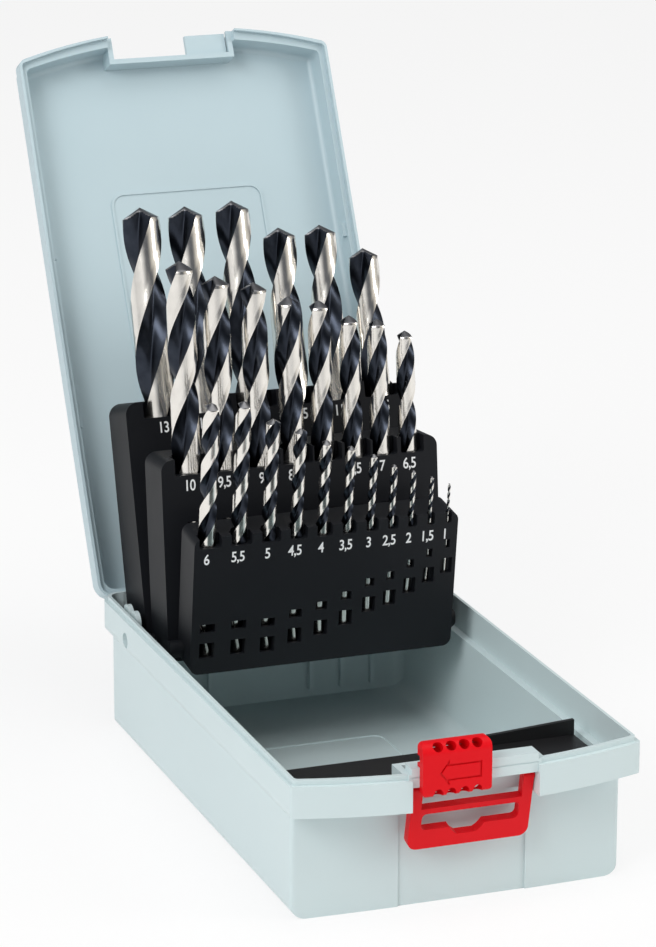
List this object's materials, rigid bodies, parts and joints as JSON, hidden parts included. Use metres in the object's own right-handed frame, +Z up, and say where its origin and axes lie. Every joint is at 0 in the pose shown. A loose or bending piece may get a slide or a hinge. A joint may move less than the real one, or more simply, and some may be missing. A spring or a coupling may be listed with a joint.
{
  "type": "drill bit case",
  "caption": "Hinged plastic case standing open, with three stepped folding racks that hold twist drills, a sliding latch and a hanging bail.",
  "frame": {"origin": "on the ground under the middle of the tray", "axes": "+X to the right seen from the latch, +Y to the hinge, +Z up"},
  "size_m": [0.1164, 0.3092, 0.2263],
  "materials": {
    "grey_plastic": "fine satin",
    "black_plastic": "satin",
    "red_plastic": "satin gloss",
    "pin_steel": "drawn",
    "drill_steel": "ground lands, blackened flutes"
  },
  "bodies": {
    "base": {"tray": "grey_plastic", "hinge_pin": "pin_steel", "front_shelf": "black_plastic", "pivot_cheek_left": "grey_plastic", "pivot_cheek_right": "grey_plastic"},
    "lid": {"lid": "grey_plastic"},
    "latch_slider": {"latch_slider": "red_plastic"},
    "hanger_bail": {"hanger_bail": "red_plastic"},
    "rack_back": {"rack_back": "black_plastic", "rack_back_pivot_left": "black_plastic", "rack_back_pivot_right": "black_plastic"},
    "rack_middle": {"rack_middle": "black_plastic", "rack_middle_link_left": "black_plastic", "rack_middle_link_right": "black_plastic", "rack_middle_stud_left": "black_plastic", "rack_middle_stud_right": "black_plastic"},
    "rack_front": {"rack_front": "black_plastic", "rack_front_link_left": "black_plastic", "rack_front_link_right": "black_plastic", "rack_front_stud_left": "black_plastic", "rack_front_stud_right": "black_plastic"},
    "drill_13_0": {"drill_13_0": "drill_steel"},
    "drill_12_5": {"drill_12_5": "drill_steel"},
    "drill_12_0": {"drill_12_0": "drill_steel"},
    "drill_11_5": {"drill_11_5": "drill_steel"},
    "drill_11_0": {"drill_11_0": "drill_steel"},
    "drill_10_5": {"drill_10_5": "drill_steel"},
    "drill_10_0": {"drill_10_0": "drill_steel"},
    "drill_9_5": {"drill_9_5": "drill_steel"},
    "drill_9_0": {"drill_9_0": "drill_steel"},
    "drill_8_5": {"drill_8_5": "drill_steel"},
    "drill_8_0": {"drill_8_0": "drill_steel"},
    "drill_7_5": {"drill_7_5": "drill_steel"},
    "drill_7_0": {"drill_7_0": "drill_steel"},
    "drill_6_5": {"drill_6_5": "drill_steel"},
    "drill_6_0": {"drill_6_0": "drill_steel"},
    "drill_5_5": {"drill_5_5": "drill_steel"},
    "drill_5_0": {"drill_5_0": "drill_steel"},
    "drill_4_5": {"drill_4_5": "drill_steel"},
    "drill_4_0": {"drill_4_0": "drill_steel"},
    "drill_3_5": {"drill_3_5": "drill_steel"},
    "drill_3_0": {"drill_3_0": "drill_steel"},
    "drill_2_5": {"drill_2_5": "drill_steel"},
    "drill_2_0": {"drill_2_0": "drill_steel"},
    "drill_1_5": {"drill_1_5": "drill_steel"},
    "drill_1_0": {"drill_1_0": "drill_steel"}
  },
  "joints": [
    {"name": "lid_hinge", "type": "hinge", "parent": "base", "child": "lid", "pos_m": [0, 0.0977, 0.0468], "axis": [-1, 0, 0], "range_deg": [-117.34, 0]},
    {"name": "rack_back_fold", "type": "hinge", "parent": "base", "child": "rack_back", "pos_m": [0, 0.07694, 0.0444], "axis": [-1, 0, 0], "range_deg": [-106.44, 0.3]},
    {"name": "rack_middle_fold", "type": "hinge", "parent": "base", "child": "rack_middle", "pos_m": [0, 0.06951, 0.0403], "axis": [-1, 0, 0], "range_deg": [-95.97, 0.3]},
    {"name": "rack_front_fold", "type": "hinge", "parent": "base", "child": "rack_front", "pos_m": [0, 0.06316, 0.0315], "axis": [-1, 0, 0], "range_deg": [-82.92, 0.3]},
    {"name": "latch_slide", "type": "slide", "parent": "base", "child": "latch_slider", "axis": [1, 0, 0], "range_m": [0, 0.014]},
    {"name": "bail_swing", "type": "hinge", "parent": "base", "child": "hanger_bail", "pos_m": [0, -0.1005, 0.0426], "axis": [-1, 0, 0], "range_deg": [0, 60]},
    {"name": "drill_13_0_lift", "type": "slide", "parent": "rack_back", "child": "drill_13_0", "axis": [0, 0.278, 0.9606], "range_m": [0, 0.087]},
    {"name": "drill_12_5_lift", "type": "slide", "parent": "rack_back", "child": "drill_12_5", "axis": [0, 0.278, 0.9606], "range_m": [0, 0.087]},
    {"name": "drill_12_0_lift", "type": "slide", "parent": "rack_back", "child": "drill_12_0", "axis": [0, 0.278, 0.9606], "range_m": [0, 0.087]},
    {"name": "drill_11_5_lift", "type": "slide", "parent": "rack_back", "child": "drill_11_5", "axis": [0, 0.278, 0.9606], "range_m": [0, 0.088]},
    {"name": "drill_11_0_lift", "type": "slide", "parent": "rack_back", "child": "drill_11_0", "axis": [0, 0.278, 0.9606], "range_m": [0, 0.088]},
    {"name": "drill_10_5_lift", "type": "slide", "parent": "rack_back", "child": "drill_10_5", "axis": [0, 0.278, 0.9606], "range_m": [0, 0.089]},
    {"name": "drill_10_0_lift", "type": "slide", "parent": "rack_middle", "child": "drill_10_0", "axis": [0, 0.0988, 0.9951], "range_m": [0, 0.069]},
    {"name": "drill_9_5_lift", "type": "slide", "parent": "rack_middle", "child": "drill_9_5", "axis": [0, 0.0988, 0.9951], "range_m": [0, 0.067]},
    {"name": "drill_9_0_lift", "type": "slide", "parent": "rack_middle", "child": "drill_9_0", "axis": [0, 0.0988, 0.9951], "range_m": [0, 0.07]},
    {"name": "drill_8_5_lift", "type": "slide", "parent": "rack_middle", "child": "drill_8_5", "axis": [0, 0.0988, 0.9951], "range_m": [0, 0.068]},
    {"name": "drill_8_0_lift", "type": "slide", "parent": "rack_middle", "child": "drill_8_0", "axis": [0, 0.0988, 0.9951], "range_m": [0, 0.07]},
    {"name": "drill_7_5_lift", "type": "slide", "parent": "rack_middle", "child": "drill_7_5", "axis": [0, 0.0988, 0.9951], "range_m": [0, 0.069]},
    {"name": "drill_7_0_lift", "type": "slide", "parent": "rack_middle", "child": "drill_7_0", "axis": [0, 0.0988, 0.9951], "range_m": [0, 0.07]},
    {"name": "drill_6_5_lift", "type": "slide", "parent": "rack_middle", "child": "drill_6_5", "axis": [0, 0.0988, 0.9951], "range_m": [0, 0.067]},
    {"name": "drill_6_0_lift", "type": "slide", "parent": "rack_front", "child": "drill_6_0", "axis": [0, -0.1284, 0.9917], "range_m": [0, 0.05]},
    {"name": "drill_5_5_lift", "type": "slide", "parent": "rack_front", "child": "drill_5_5", "axis": [0, -0.1284, 0.9917], "range_m": [0, 0.051]},
    {"name": "drill_5_0_lift", "type": "slide", "parent": "rack_front", "child": "drill_5_0", "axis": [0, -0.1284, 0.9917], "range_m": [0, 0.051]},
    {"name": "drill_4_5_lift", "type": "slide", "parent": "rack_front", "child": "drill_4_5", "axis": [0, -0.1284, 0.9917], "range_m": [0, 0.049]},
    {"name": "drill_4_0_lift", "type": "slide", "parent": "rack_front", "child": "drill_4_0", "axis": [0, -0.1284, 0.9917], "range_m": [0, 0.049]},
    {"name": "drill_3_5_lift", "type": "slide", "parent": "rack_front", "child": "drill_3_5", "axis": [0, -0.1284, 0.9917], "range_m": [0, 0.047]},
    {"name": "drill_3_0_lift", "type": "slide", "parent": "rack_front", "child": "drill_3_0", "axis": [0, -0.1284, 0.9917], "range_m": [0, 0.042]},
    {"name": "drill_2_5_lift", "type": "slide", "parent": "rack_front", "child": "drill_2_5", "axis": [0, -0.1284, 0.9917], "range_m": [0, 0.042]},
    {"name": "drill_2_0_lift", "type": "slide", "parent": "rack_front", "child": "drill_2_0", "axis": [0, -0.1284, 0.9917], "range_m": [0, 0.037]},
    {"name": "drill_1_5_lift", "type": "slide", "parent": "rack_front", "child": "drill_1_5", "axis": [0, -0.1284, 0.9917], "range_m": [0, 0.031]},
    {"name": "drill_1_0_lift", "type": "slide", "parent": "rack_front", "child": "drill_1_0", "axis": [0, -0.1284, 0.9917], "range_m": [0, 0.028]}
  ],
  "couplings": [
    {"joint": "rack_back_fold", "follows": "lid_hinge", "ratio": 0.90455},
    {"joint": "rack_middle_fold", "follows": "lid_hinge", "ratio": 0.81532},
    {"joint": "rack_front_fold", "follows": "lid_hinge", "ratio": 0.70411}
  ]
}
